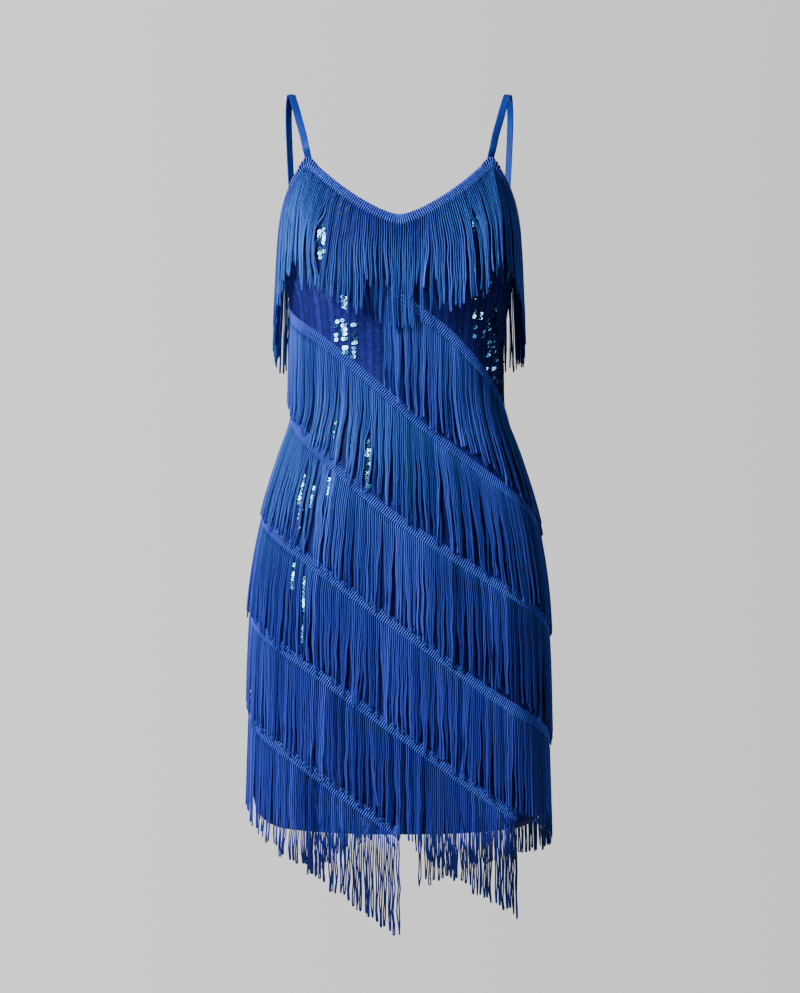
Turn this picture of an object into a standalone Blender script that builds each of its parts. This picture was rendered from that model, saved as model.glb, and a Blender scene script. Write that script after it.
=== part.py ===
"""A fringe dance dress, hollow and filled out as it is worn, modelled in metres.

The origin is midway between the shoulders that carry the straps, +Z is up and the front faces -Y.
A place on the dress is a turn and a height. Turn 0 is the side seam at -X, 0.25 the front centre,
0.5 the side seam at +X and 0.75 the back centre, measured along the girth.
"""

import math
from collections import namedtuple

import bmesh
import bpy
import numpy as np
from mathutils import Vector

# Cloth
WALL = 0.002
SEAM_GAP = 0.0003
WITHIN_SEAM = 1e-6  # keeps a panel's outer columns on its own side of the seam, in turns
ROUNDNESS = 2.2  # exponent of the cross-sections: 2 is an ellipse
COLUMNS_PER_TURN = 40
HEM = -0.878
HEM_RISE = 0.040  # how much higher the hem is at the side seams
HEM_RISE_REACH = 0.107  # turns each side of a seam
HEM_RISE_POWER = 2.2

# The worn shape: a row for each section, from the hem up
Section = namedtuple("Section", "name height half_width front_depth back_depth")
SECTIONS = (
    Section("hem", -0.878, 0.1770, 0.120, 0.116),
    Section("lower skirt", -0.780, 0.1800, 0.121, 0.119),
    Section("full hip", -0.680, 0.1805, 0.120, 0.122),
    Section("hip", -0.590, 0.1765, 0.117, 0.121),
    Section("high hip", -0.510, 0.1640, 0.112, 0.112),
    Section("belly", -0.440, 0.1445, 0.105, 0.096),
    Section("below waist", -0.395, 0.1300, 0.098, 0.083),
    Section("waist", -0.350, 0.1252, 0.094, 0.076),
    Section("underbust", -0.300, 0.1275, 0.101, 0.084),
    Section("bust", -0.250, 0.1345, 0.110, 0.092),
    Section("underarm", -0.199, 0.1455, 0.108, 0.096),
    Section("chest", -0.150, 0.1445, 0.099, 0.096),
    Section("strap point", -0.088, 0.1365, 0.086, 0.092),
)
Cup = namedtuple("Cup", "depth across height width tall")
CUP = Cup(0.015, 0.070, -0.243, 0.046, 0.052)

# Neckline, armholes and the back's top edge
UNDERARM = -0.199
STRAP_POINT = -0.088
STRAP_POINT_TURN = 0.1
V_POINT = -0.162
V_CURVE = 1.43
ARMHOLE_CURVE = 1.6
BACK_DIP = 0.010
LEVEL_ROWS_TOP = -0.225  # below this height the rows of the panels are level
SKIRT_ROW = 0.035
WAIST_ROW = 0.022
SKIRT_ROWS_TOP = -0.600
NECK_ROWS = 5

# Fringe. Its header is the woven strip that the locks hang from. The drop is measured plumb from the
# header's top edge to the locks' ends. The locks stand off the cloth beyond their header, a little
# more at their ends, to pass outside the strips that are under them.
HEADER_THICKNESS = 0.002
HEADER_CLEARANCE = 0.0008
Fringe = namedtuple("Fringe", "header drop root_lift end_lift")
SPIRAL = Fringe(header=0.014, drop=0.119, root_lift=0.0006, end_lift=0.0024)
EDGE = Fringe(header=0.012, drop=0.131, root_lift=0.0034, end_lift=0.0040)
LOCK_GAP = 0.0035
LOCK_STATIONS = (0.0, 0.1, 0.5, 1.0)  # where a lock bends, as shares of its length
LOCK_END_WIDTH = 0.8  # share of its root's width
LOCK_STAGGER = 0.003
ON_HEADER = 1e-5  # up to this share of a lock's length a point is still on its header

# The four fringe strips that wind down and round the dress, each from its first to its last column,
# with the heights of its top edge at the turns below
SPIRAL_TURNS = (-0.5, 0.0, 0.125, 0.25, 0.375, 0.5, 1.0, 1.125, 1.25, 1.375, 1.5)
Strip = namedtuple("Strip", "name first_column last_column heights")
STRIPS = (
    Strip("spiral_fringe_1", 9, 56, (
        0.085, -0.125, -0.186, -0.2515, -0.317, -0.402, -0.613, -0.672, -0.755, -0.842, -0.906,
    )),
    Strip("spiral_fringe_2", -2, 50, (
        -0.045, -0.255, -0.3055, -0.377, -0.456, -0.528, -0.733, -0.7905, -0.870, -0.942, -1.015,
    )),
    Strip("spiral_fringe_3", -13, 35, (
        -0.162, -0.372, -0.4295, -0.510, -0.586, -0.652, -0.917, -0.988, -1.060, -1.130, -1.200,
    )),
    Strip("spiral_fringe_4", -19, 29, (
        -0.284, -0.494, -0.5515, -0.633, -0.7205, -0.781, -0.971, -1.0385, -1.110, -1.180, -1.250,
    )),
)

# Straps: the points that a strap passes through, from the front to the back, on the -X side
STRAP_WIDTH = 0.009
STRAP_THICKNESS = 0.0014
STRAP_TUCK = 0.012
STRAP_CLEARANCE = 0.0016  # from the rounded form inside the wall, whose flat facets lie closer
STRAP_BACK_TURN = 0.938
STRAP_STEPS = 30
STRAP_LIES_FLAT = 1.2  # how strongly its face turns upwards over the shoulder
Bend = namedtuple("Bend", "across along height")
STRAP_BENDS = (
    Bend(-0.1085, -0.0560, -0.0740),
    Bend(-0.1150, -0.0475, -0.0560),
    Bend(-0.1215, -0.0340, -0.0340),
    Bend(-0.1285, -0.0150, -0.0090),
    Bend(-0.1324, 0.0000, 0.0008),
    Bend(-0.1355, 0.0140, -0.0080),
    Bend(-0.1368, 0.0270, -0.0300),
    Bend(-0.1358, 0.0360, -0.0700),
    Bend(-0.1335, 0.0405, -0.1200),
    Bend(-0.1315, 0.0410, -0.1700),
)

BLUE = (0.012, 0.075, 0.46, 1.0)
DEEP_BLUE = (0.008, 0.04, 0.30, 1.0)


def clear_scene():
    for item in list(bpy.data.objects):
        bpy.data.objects.remove(item)


def smooth_curve(knots, values, at):
    """Values at any places on a smooth curve through the knots' own values, level beyond its ends."""
    knots, values = np.asarray(knots, float), np.asarray(values, float)
    slopes = np.gradient(values, knots, axis=0)
    at = np.clip(at, knots[0], knots[-1])
    low = np.clip(np.searchsorted(knots, at) - 1, 0, len(knots) - 2)
    span = knots[low + 1] - knots[low]
    share = (at - knots[low]) / span
    if values.ndim > 1:
        span, share = span[:, None], share[:, None]
    square, cube = share**2, share**3
    return (
        values[low] * (2 * cube - 3 * square + 1)
        + values[low + 1] * (3 * square - 2 * cube)
        + slopes[low] * span * (cube - 2 * square + share)
        + slopes[low + 1] * span * (cube - square)
    )


def smooth_column(heights, column):
    """A column of the section table at any heights."""
    rows = [section.height for section in SECTIONS]
    return smooth_curve(rows, [getattr(section, column) for section in SECTIONS], heights)


def signed_power(value, power):
    return np.sign(value) * np.abs(value) ** power


def girth_table(steps=2000):
    """Angles all round the full hip, the turn that each is at along the girth, and the girth."""
    hip = next(section for section in SECTIONS if section.name == "full hip")
    depth = (hip.front_depth + hip.back_depth) / 2
    angles = np.linspace(0, 2 * math.pi, steps + 1)
    x = -hip.half_width * signed_power(np.cos(angles), 2 / ROUNDNESS)
    y = -depth * signed_power(np.sin(angles), 2 / ROUNDNESS)
    along = np.concatenate([[0], np.cumsum(np.hypot(np.diff(x), np.diff(y)))])
    return angles, along / along[-1], along[-1]


GIRTH_ANGLES, GIRTH_TURNS, FULL_GIRTH = girth_table()


def skin(turn, heights):
    """Points of the cloth's outer face at one turn and several heights, as rows of x, y, z."""
    heights = np.atleast_1d(np.asarray(heights, float))
    angle = np.interp(turn % 1, GIRTH_TURNS, GIRTH_ANGLES)
    x = -smooth_column(heights, "half_width") * signed_power(np.cos(angle), 2 / ROUNDNESS)
    on_front = turn % 1 <= 0.5
    depth = smooth_column(heights, "front_depth" if on_front else "back_depth")
    y = -depth * signed_power(np.sin(angle), 2 / ROUNDNESS)
    if on_front:
        aside = (np.abs(x) - CUP.across) / CUP.width
        above = (heights - CUP.height) / CUP.tall
        y = y - CUP.depth * np.exp(-(aside**2) - above**2) * np.sin(angle)
    return np.stack([x, y, heights], axis=1)


def outward(turn, height):
    """The cloth's outward direction, from the change of its points nearby."""
    step, rise = 0.002, 0.002
    along = skin(turn + step, height)[0] - skin(turn - step, height)[0]
    up = skin(turn, height + rise)[0] - skin(turn, height - rise)[0]
    return Vector(np.cross(along, up)).normalized()


def hanging(turn, top, height):
    """A point that hangs plumb from the cloth at the height top, resting on what bulges below it."""
    heights = np.linspace(height, top, 12)
    points = skin(turn, heights)
    widest = points[np.abs(points[:, 0]).argmax(), 0]
    deepest = points[np.abs(points[:, 1]).argmax(), 1]
    return Vector((widest, deepest, height))


def level_outward(turn, height):
    direction = outward(turn, height)
    direction.z = 0
    return direction.normalized()


def front_top(turn):
    """The height of the front's top edge: the V of the neckline, then the armholes."""
    across = min(turn, 0.5 - turn)
    if across < STRAP_POINT_TURN:
        share = 1 - across / STRAP_POINT_TURN
        return STRAP_POINT - (STRAP_POINT - UNDERARM) * share**ARMHOLE_CURVE
    side, strap_side = (abs(skin(at, STRAP_POINT)[0][0]) for at in (turn, STRAP_POINT_TURN))
    return V_POINT + (STRAP_POINT - V_POINT) * (side / strap_side) ** V_CURVE


def back_top(turn):
    """The height of the back's top edge, which dips a little to its centre."""
    return UNDERARM - BACK_DIP * math.sin(2 * math.pi * (turn % 1 - 0.5)) ** 2


def edge_top(turn):
    return front_top(turn) if turn % 1 <= 0.5 else back_top(turn)


def hem_rise(turn):
    """How much the hem is higher than at the front centre. It rises to the side seams."""
    from_seam = abs((turn + 0.25) % 0.5 - 0.25)
    return HEM_RISE * max(0, 1 - from_seam / HEM_RISE_REACH) ** HEM_RISE_POWER


def finish_object(name, work, colour, roughness):
    """Turns the working mesh into a smooth, named object with its material."""
    mesh = bpy.data.meshes.new(name)
    work.to_mesh(mesh)
    work.free()
    mesh.shade_smooth()
    mesh.set_sharp_from_angle(angle=math.radians(40))
    material = bpy.data.materials.new(name)
    material.use_nodes = True
    surface = material.node_tree.nodes["Principled BSDF"]
    surface.inputs["Base Color"].default_value = colour
    surface.inputs["Roughness"].default_value = roughness
    surface.inputs["Metallic"].default_value = 0.0
    mesh.materials.append(material)
    item = bpy.data.objects.new(name, mesh)
    dress.objects.link(item)
    return item


def face_outwards(work):
    """Turns the faces of half the girth away from the middle of the dress."""
    bmesh.ops.recalc_face_normals(work, faces=work.faces)
    face = max(work.faces, key=lambda one: abs(one.calc_center_median().y))
    if face.normal.y * face.calc_center_median().y < 0:
        bmesh.ops.reverse_faces(work, faces=work.faces)


def row_heights():
    """The heights of the level rows of a panel, from the hem up."""
    skirt = round((SKIRT_ROWS_TOP - HEM) / SKIRT_ROW)
    waist = round((LEVEL_ROWS_TOP - SKIRT_ROWS_TOP) / WAIST_ROW)
    lower = np.linspace(HEM, SKIRT_ROWS_TOP, skirt + 1)
    upper = np.linspace(SKIRT_ROWS_TOP, LEVEL_ROWS_TOP, waist + 1)
    return list(lower) + list(upper[1:])


def panel(name, first_turn, top_of):
    """The front or the back: half of the girth, from the hem to its top edge, one wall of cloth."""
    levels = row_heights()
    rows = len(levels) - 1 + NECK_ROWS
    columns = COLUMNS_PER_TURN // 2
    work = bmesh.new()
    bmesh.ops.create_grid(work, x_segments=columns, y_segments=rows, size=0.5)
    for vertex in work.verts:
        column = round((vertex.co.x + 0.5) * columns)
        row = round((vertex.co.y + 0.5) * rows)
        turn = first_turn + np.clip(column / columns / 2, WITHIN_SEAM, 0.5 - WITHIN_SEAM)
        height = levels[min(row, len(levels) - 1)]
        height += hem_rise(turn) * max(0, (SKIRT_ROWS_TOP - height) / (SKIRT_ROWS_TOP - HEM))
        if row >= len(levels):
            height += (row - len(levels) + 1) / NECK_ROWS * (top_of(turn) - levels[-1])
        vertex.co = skin(turn, height)[0]
    face_outwards(work)
    bmesh.ops.solidify(work, geom=work.faces[:], thickness=WALL)
    behind = math.copysign(1, first_turn - 0.25)
    for vertex in work.verts:
        vertex.co.y = behind * max(behind * vertex.co.y, SEAM_GAP / 2)
    return finish_object(name, work, DEEP_BLUE, 0.4)


def header_turn(index, first_column, locks):
    """The turn of a header's cross-seam: its two ends, and the two sides of each lock between them."""
    lock, side = divmod(index - 1, 2)
    if index == 0:
        lock, side, margin = 0, 0, SEAM_GAP / 2
    elif index == 2 * locks + 1:
        lock, side, margin = locks, 0, -SEAM_GAP / 2
    else:
        margin = LOCK_GAP * (0.5 - side)
    return (first_column + lock + side) / COLUMNS_PER_TURN + margin / FULL_GIRTH


def lock_length(lock, style):
    """From the header's lower edge to the lock's end. Neighbours differ a little."""
    return style.drop - style.header - LOCK_STAGGER * (0.5 + 0.5 * math.sin(2.4 * lock))


def flat_header(seams, header):
    """The header as a flat strip: x counts its cross-seams, y is the drop below its top edge, negative,
    and z is 0 on its inner face and 1 on its outer one."""
    work = bmesh.new()
    bmesh.ops.create_grid(work, x_segments=seams, y_segments=1, size=0.5)
    for vertex in work.verts:
        vertex.co = Vector((round((vertex.co.x + 0.5) * seams), header * (vertex.co.y - 0.5), 0))
    strip = bmesh.ops.extrude_face_region(work, geom=work.faces[:])
    raised = [part for part in strip["geom"] if isinstance(part, bmesh.types.BMVert)]
    bmesh.ops.translate(work, verts=raised, vec=(0, 0, 1))
    bmesh.ops.recalc_face_normals(work, faces=work.faces)
    return work


def pull_out_locks(work, style):
    """Extrudes a lock from every second face of the flat header's lower edge."""

    def is_root(face):
        return face.normal.y < -0.9 and int(face.calc_center_median().x) % 2 == 1

    for root in [face for face in work.faces if is_root(face)]:
        middle = root.calc_center_median().x
        length = lock_length(int(middle) // 2, style)
        face = root
        for before, share in zip(LOCK_STATIONS, LOCK_STATIONS[1:]):
            face = bmesh.ops.extrude_discrete_faces(work, faces=[face])["faces"][0]
            width = 1 - (1 - LOCK_END_WIDTH) * share
            for vertex in face.verts:
                vertex.co.x = middle + math.copysign(width / 2, vertex.co.x - middle)
                vertex.co.y -= (share - before) * length


def fringe(name, first_column, last_column, top_of, style):
    """A header strip with the locks that hang from it: a flat comb, then hung on the dress."""
    locks = last_column - first_column
    work = flat_header(2 * locks + 1, style.header)
    pull_out_locks(work, style)
    for vertex in work.verts:
        seam = math.floor(vertex.co.x)
        turn = header_turn(seam, first_column, locks)
        if vertex.co.x > seam:
            turn += (vertex.co.x - seam) * (header_turn(seam + 1, first_column, locks) - turn)
        height = top_of(turn) + vertex.co.y
        stand_off = HEADER_CLEARANCE + HEADER_THICKNESS * vertex.co.z
        share = (-vertex.co.y - style.header) / (style.drop - style.header)
        if share < ON_HEADER:
            vertex.co = Vector(skin(turn, height)[0]) + stand_off * outward(turn, height)
            continue
        stand_off += style.root_lift * min(1, share / LOCK_STATIONS[1])
        stand_off += (style.end_lift - style.root_lift) * share
        root = top_of(turn) - style.header
        vertex.co = hanging(turn, root, height) + stand_off * level_outward(turn, height)
    return finish_object(name, work, BLUE, 0.35)


def strip_top(strip):
    """The height of a spiral strip's top edge as a function of the turn."""

    def top(turn):
        return float(smooth_curve(SPIRAL_TURNS, strip.heights, turn))

    return top


def inside_cloth(turn, height):
    """A point where a strap's middle lies against the cloth's inner face."""
    depth = WALL + STRAP_CLEARANCE + STRAP_THICKNESS / 2
    return Vector(skin(turn, height)[0]) - depth * outward(turn, height)


def strap(name, side):
    """A flat strap over one shoulder, tucked inside the front and the back. side is -1 at -X."""
    front_edge = front_top(STRAP_POINT_TURN)
    back_edge = back_top(STRAP_BACK_TURN)
    front = [inside_cloth(STRAP_POINT_TURN, front_edge - STRAP_TUCK + rise) for rise in (0, STRAP_TUCK)]
    back = [inside_cloth(STRAP_BACK_TURN, back_edge + rise) for rise in (0, -STRAP_TUCK)]
    points = [list(point) for point in (*front, *STRAP_BENDS, *back)]
    route = smooth_curve(range(len(points)), points, np.linspace(0, len(points) - 1, STRAP_STEPS + 1))
    front_facing = level_outward(STRAP_POINT_TURN, front_edge - STRAP_TUCK)
    back_facing = level_outward(STRAP_BACK_TURN, back_edge)
    work = bmesh.new()
    bmesh.ops.create_grid(work, x_segments=2, y_segments=STRAP_STEPS, size=0.5)
    for vertex in work.verts:
        step = round((vertex.co.y + 0.5) * STRAP_STEPS)
        along = Vector(route[min(step + 1, STRAP_STEPS)] - route[max(step - 1, 0)]).normalized()
        share = step / STRAP_STEPS
        facing = front_facing.lerp(back_facing, share)
        facing.z += STRAP_LIES_FLAT * math.sin(math.pi * share)
        across = along.cross(facing).normalized()
        vertex.co = Vector(route[step]) + across * vertex.co.x * STRAP_WIDTH
        vertex.co.x *= -side
    item = finish_object(name, work, BLUE, 0.4)
    ribbon = item.modifiers.new("ribbon", "SOLIDIFY")
    ribbon.thickness = STRAP_THICKNESS
    ribbon.offset = 0
    return item


clear_scene()
dress = bpy.data.collections.new("fringe_dance_dress")
bpy.context.scene.collection.children.link(dress)

panel("front_panel", 0.0, front_top)
panel("back_panel", 0.5, back_top)
strap("strap_left", -1)
strap("strap_right", 1)

strap_column = round(STRAP_POINT_TURN * COLUMNS_PER_TURN)
half = COLUMNS_PER_TURN // 2
fringe("neckline_fringe", strap_column, half - strap_column, edge_top, EDGE)
fringe("armhole_fringe_left", 0, strap_column, edge_top, EDGE)
fringe("armhole_fringe_right", half - strap_column, half, edge_top, EDGE)
fringe("back_edge_fringe", half, 2 * half, edge_top, EDGE)
for strip in STRIPS:
    fringe(strip.name, strip.first_column, strip.last_column, strip_top(strip), SPIRAL)
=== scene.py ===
"""The looks of a fringe dance dress: its sequinned cloth, straps and fringe cords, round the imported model.

A place on the dress is a turn and a height. Turn 0 is the side seam at -X, 0.25 the front centre,
0.5 the side seam at +X and 0.75 the back centre, measured along the girth. All sizes are in metres.
"""

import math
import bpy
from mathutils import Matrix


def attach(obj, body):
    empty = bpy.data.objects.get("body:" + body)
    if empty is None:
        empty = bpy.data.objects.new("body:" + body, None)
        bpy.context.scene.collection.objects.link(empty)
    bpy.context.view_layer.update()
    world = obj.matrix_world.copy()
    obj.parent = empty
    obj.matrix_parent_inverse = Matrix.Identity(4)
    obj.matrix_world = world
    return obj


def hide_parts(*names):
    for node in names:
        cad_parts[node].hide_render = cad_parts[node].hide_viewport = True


bl_info = {
    "name": "Fringe dance dress",
    "version": (1, 0, 0),
    "blender": (4, 5, 0),
    "location": "View3D > Sidebar > Fringe dress",
    "description": "Makes the cloth, sequins, straps and fringe cords of a fringe dance dress",
    "category": "Object",
}

from collections import namedtuple

import bpy
import numpy as np
from bpy.props import FloatProperty, FloatVectorProperty, IntProperty, PointerProperty
from bpy.types import Operator, Panel, PropertyGroup
from mathutils import Vector

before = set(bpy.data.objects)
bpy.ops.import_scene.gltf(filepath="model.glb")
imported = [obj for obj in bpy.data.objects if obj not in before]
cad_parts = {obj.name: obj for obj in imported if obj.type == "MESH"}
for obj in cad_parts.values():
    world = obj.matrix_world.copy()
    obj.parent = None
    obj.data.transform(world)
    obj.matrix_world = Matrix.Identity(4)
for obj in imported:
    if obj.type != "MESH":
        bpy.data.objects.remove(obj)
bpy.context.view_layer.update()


def table(name, fields, *rows):
    """The rows as named tuples of one kind."""
    return tuple(map(namedtuple(name, fields)._make, rows))


# The worn shape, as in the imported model: a row for each section, from the hem up
SECTIONS = table(
    "Section", "name height half_width front_depth back_depth",
    ("hem", -0.878, 0.1770, 0.120, 0.116),
    ("lower skirt", -0.780, 0.1800, 0.121, 0.119),
    ("full hip", -0.680, 0.1805, 0.120, 0.122),
    ("hip", -0.590, 0.1765, 0.117, 0.121),
    ("high hip", -0.510, 0.1640, 0.112, 0.112),
    ("belly", -0.440, 0.1445, 0.105, 0.096),
    ("below waist", -0.395, 0.1300, 0.098, 0.083),
    ("waist", -0.350, 0.1252, 0.094, 0.076),
    ("underbust", -0.300, 0.1275, 0.101, 0.084),
    ("bust", -0.250, 0.1345, 0.110, 0.092),
    ("underarm", -0.199, 0.1455, 0.108, 0.096),
    ("chest", -0.150, 0.1445, 0.099, 0.096),
    ("strap point", -0.088, 0.1365, 0.086, 0.092),
)
Cup = namedtuple("Cup", "depth across height width tall")
CUP = Cup(0.015, 0.070, -0.243, 0.046, 0.052)
ROUNDNESS = 2.2
SEAM_LAP = 0.0006  # how far the front and the back pass each other at the side seams
HEM = -0.878
HEM_RISE = 0.040  # how much higher the hem is at the side seams
HEM_RISE_REACH = 0.107  # turns each side of a seam
HEM_RISE_POWER = 2.2
UNDERARM = -0.199
STRAP_POINT = -0.0865
STRAP_POINT_TURN = 0.095
V_POINT = -0.162
V_CURVE = 1.43
ARMHOLE_CURVE = 1.6
BACK_DIP = 0.010
LEVEL_ROWS = 0.8  # the share of a panel's rows that are level, and how high they reach
LEVEL_ROWS_TOP = -0.225
COLUMNS_PER_TURN = 40

# Fringe: the header's height and the drop to the cords' ends are measured plumb from the header's top
# edge. Lift is how far the cords' middles are from the cloth, at the root and at the end.
SPIRAL, EDGE = table(
    "Fringe", "header drop root_lift end_lift sway gather uneven",
    (0.014, 0.122, 0.0026, 0.0046, 0.0010, 0.38, 0.0022),
    (0.012, 0.131, 0.0024, 0.0066, 0.0020, 0.34, 0.0040),
)
LONGEST_DROP = 0.129  # how far a long strip's cords may reach down to the next header
LESS_DROP = 0.006  # how much less than their own drop they may hang
NEXT_HEADER = (0.05, 0.16)  # how far down the next header's top edge can be
PAST_HEADER = 0.0005
SLOPE_REACH = 0.008  # how far each way the header's slope is averaged, for its ribs
UPRIGHT_REACH = 0.012  # how far from a header's end its ribs turn plumb
TAPE_TOP = 1.02  # the tape's top edge, as a share of the header's height
TAPE_LIFTS = (0.0002, 0.0006)  # its two faces above the cloth
ARMHOLE_WIDENING = 0.95  # how much higher the header is halfway down the steep armholes

# Cords: the places of their rings as shares of what hangs, and on the rib over the header, with its lifts
HANG_SHARES = np.array([0.0, 0.05, 0.14, 0.26, 0.39, 0.52, 0.65, 0.78, 0.9, 1.0])
RIB_SHARES = np.array([1.06, 0.94, 0.5, 0.1])
RIB_LIFTS = np.array([0.0006, 0.0019, 0.0021, 0.0021])
RIB_RINGS = np.r_[:len(RIB_SHARES), -len(RIB_SHARES):0]  # the rings at both ends of a looped cord
RIB_THINNER = 0.88  # a cord's radius on the header, over its radius below
UNDER_LAYER = 0.0011  # how much nearer the cloth the cords of the under layer hang
UNDER_SHORTER = 0.002
UNDER_ABOVE_HEM = 0.004  # they end at least this far above it, but none is shorter than the next value
UNDER_SHORTEST = 0.012
# painted shade: how much darker the under layer is, beneath the outer cords
UNDER_PAINTED_SHADE = 0.45
FIRST_LIFTS = (0.0020, 0.0014)  # the middle of a cord's first ring above the cloth, in the two layers
LIFT_SPREADS = (0.0007, 0.0003)  # how unevenly groups of cords and single cords stand off it
CORD_SHADE = 0.47
CORD_SHADE_SPREAD = 0.17
STREAK_CORDS = 4  # pairs of cords that share a lighter or darker streak
STREAK_SPREAD = 0.10
# painted highlight: the shade that the rings on a rib are raised to
RIB_PAINTED_HIGHLIGHT = 0.86
GATHER_SPREAD = 0.22  # how unevenly groups of cords gather
MOST_GATHER = 0.85
LARGEST_GROUP = 3  # pairs
FREE_REACH = 0.03  # how far below the hem a cord's end gathers least
STRAY_SHARE = 0.07  # of the pairs of cords, whose ends hang about the next value aside
STRAY_REACH = 0.0045
WAVE = 0.0005  # how far a cord waves sideways
SHORTEST_WAVE, LONGEST_WAVE = 0.028, 0.06
SHARED_WAVE = (0.055, 0.13)  # the lengths of a wave through all the cords, down them and along the header
FREE_WAVE = 0.0004  # how far a cord waves below the hem, and how far its group sways there
FREE_SWAY = 0.0008
FREE_FROM = 0.02  # how far below the hem a cord hangs free
HEADER_GAP = 0.0008  # from the header's lower edge down to a cord's first ring
ROOT_PAINTED_SHADE = 0.5  # painted shade: how much darker the cords of the upper edges are where they leave their header
ROOT_REACH = 0.45  # the share of their length over which that fades
FREE_PAINTED_SHADE = 0.9  # painted shade: how much darker a cord is below the hem, where no cloth backs it
FREE_THICKER = 0.25  # how much thicker it hangs there, with its plies loose
CORD_TWIST = 420  # turns a metre
THREAD_TWIST = 900
THREAD_RADIUS = 0.0002
STITCH_LINES = (0.3, 0.72)  # where the stitching crosses the header, as shares of its height
STITCH_LIFTS = (0.0027, 0.0021)  # over a rib, and between two

# Where the bust pushes the neckline's cords aside: how far, at which turns from the front centre
SWEEP = 0.013
SWEEP_TURN = 0.108
SWEEP_WIDTH = 0.052
SWEPT_BY = 0.45  # share of the cords' length

# The cords over the front centre of the neckline are in two lengths
SHORT_CORDS_REACH = 0.048  # turns each side of the front centre
SHORT_CORDS_SHARE = 0.62
SHORTER_BY = 0.038

# Partings between the cords of the front, where columns of sequins catch the light: how far across the
# front, from which height to which, and half the gap's width
PARTINGS = table(
    "Parting", "across top bottom half_gap",
    (-0.0900, -0.171, -0.214, 0.0064),
    (-0.0360, -0.425, -0.482, 0.0038),
    (-0.1150, -0.462, -0.530, 0.0036),
    (-0.0740, -0.378, -0.445, 0.0018),
    (-0.0570, -0.415, -0.440, 0.0018),
    (-0.1010, -0.450, -0.530, 0.0020),
    (-0.0830, -0.455, -0.505, 0.0020),
    (-0.1230, -0.560, -0.600, 0.0016),
    (-0.1110, -0.570, -0.665, 0.0020),
    (0.0860, -0.160, -0.235, 0.0030),
    (0.1030, -0.190, -0.250, 0.0026),
    (0.1205, -0.525, -0.592, 0.0018),
)
PARTING_FADE = 0.018  # the height over which a parting opens and closes

# The same on the bare cloth, where nothing has to part
GLINT_COLUMNS = table(
    "Column", "across top bottom half_gap",
    (-0.0635, -0.250, -0.345, 0.0024),
    (-0.0530, -0.285, -0.352, 0.0024),
    (-0.0730, -0.285, -0.325, 0.0020),
    (0.0885, -0.252, -0.308, 0.0024),
    (0.1035, -0.280, -0.339, 0.0024),
    (0.0960, -0.262, -0.300, 0.0020),
    (0.1120, -0.262, -0.372, 0.0026),
    (0.1210, -0.300, -0.385, 0.0024),
)

# The four long strips, each from its first to its last column, with the heights of its top edge at the
# turns below
SPIRAL_TURNS = (-0.5, 0.0, 0.125, 0.25, 0.375, 0.5, 1.0, 1.125, 1.25, 1.375, 1.5)
STRIPS = table(
    "Strip", "name first_column last_column heights",
    ("spiral_fringe_1", 9, 56, (
        0.085, -0.125, -0.186, -0.2515, -0.317, -0.402, -0.613, -0.672, -0.755, -0.842, -0.906,
    )),
    ("spiral_fringe_2", -2, 50, (
        -0.045, -0.255, -0.3055, -0.377, -0.456, -0.528, -0.733, -0.7905, -0.870, -0.942, -1.015,
    )),
    ("spiral_fringe_3", -13, 35, (
        -0.162, -0.372, -0.4295, -0.510, -0.586, -0.652, -0.917, -0.988, -1.060, -1.130, -1.200,
    )),
    ("spiral_fringe_4", -19, 29, (
        -0.284, -0.494, -0.5515, -0.633, -0.7205, -0.781, -0.971, -1.0385, -1.110, -1.180, -1.250,
    )),
)

# Soft drag lines in the cloth, as troughs: where each starts and ends, its depth and half width
CREASES = table(
    "Crease", "top_turn top bottom_turn bottom depth half_width",
    (0.075, -0.262, 0.100, -0.335, 0.0011, 0.0050),
    (0.128, -0.280, 0.132, -0.352, 0.0009, 0.0045),
    (0.172, -0.272, 0.178, -0.372, 0.0010, 0.0050),
    (0.355, -0.262, 0.362, -0.330, 0.0010, 0.0050),
    (0.402, -0.270, 0.418, -0.365, 0.0011, 0.0050),
    (0.905, -0.770, 0.918, -0.870, 0.0011, 0.0060),
    (0.948, -0.800, 0.952, -0.870, 0.0009, 0.0050),
)

# The strips along the upper edges
EDGES = table(
    "Edge", "name first_turn last_turn",
    ("neckline_fringe", STRAP_POINT_TURN, 0.5 - STRAP_POINT_TURN),
    ("armhole_fringe_left", 0.0, STRAP_POINT_TURN),
    ("armhole_fringe_right", 0.5 - STRAP_POINT_TURN, 0.5),
    ("back_edge_fringe", 0.5, 1.0),
)

# Straps: the points that the -X strap passes through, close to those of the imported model
STRAP_WIDTH = 0.009
STRAP_THICKNESS = 0.0011
STRAP_CROWN = 0.00035  # how much its middle stands above its edges
STRAP_STEPS = 120
STRAP_TUCK = 0.012
STRAP_CLEARANCE = 0.0043  # from the cloth's outer face to the strap's middle inside it
STRAP_FOOT_TURN = 0.088
STRAP_BACK_TURN = 0.938
STRAP_FRONT_FACING = (-0.40, -0.92, 0.0)  # the -X strap's outer face before the shoulder, and behind it
STRAP_BACK_FACING = (-0.62, 0.78, 0.0)
STRAP_TOP_SHARE = 0.40  # where along its length it passes the shoulder, and over which share of it
STRAP_TOP_REACH = 0.13
STRAP_BENDS = table(
    "Bend", "across along height",
    (-0.1112, -0.0560, -0.0740),
    (-0.1152, -0.0475, -0.0560),
    (-0.1215, -0.0340, -0.0340),
    (-0.1285, -0.0150, -0.0090),
    (-0.1324, 0.0000, 0.0008),
    (-0.1355, 0.0140, -0.0080),
    (-0.1368, 0.0270, -0.0300),
    (-0.1358, 0.0360, -0.0700),
    (-0.1335, 0.0405, -0.1200),
    (-0.1315, 0.0410, -0.1700),
)
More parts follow.
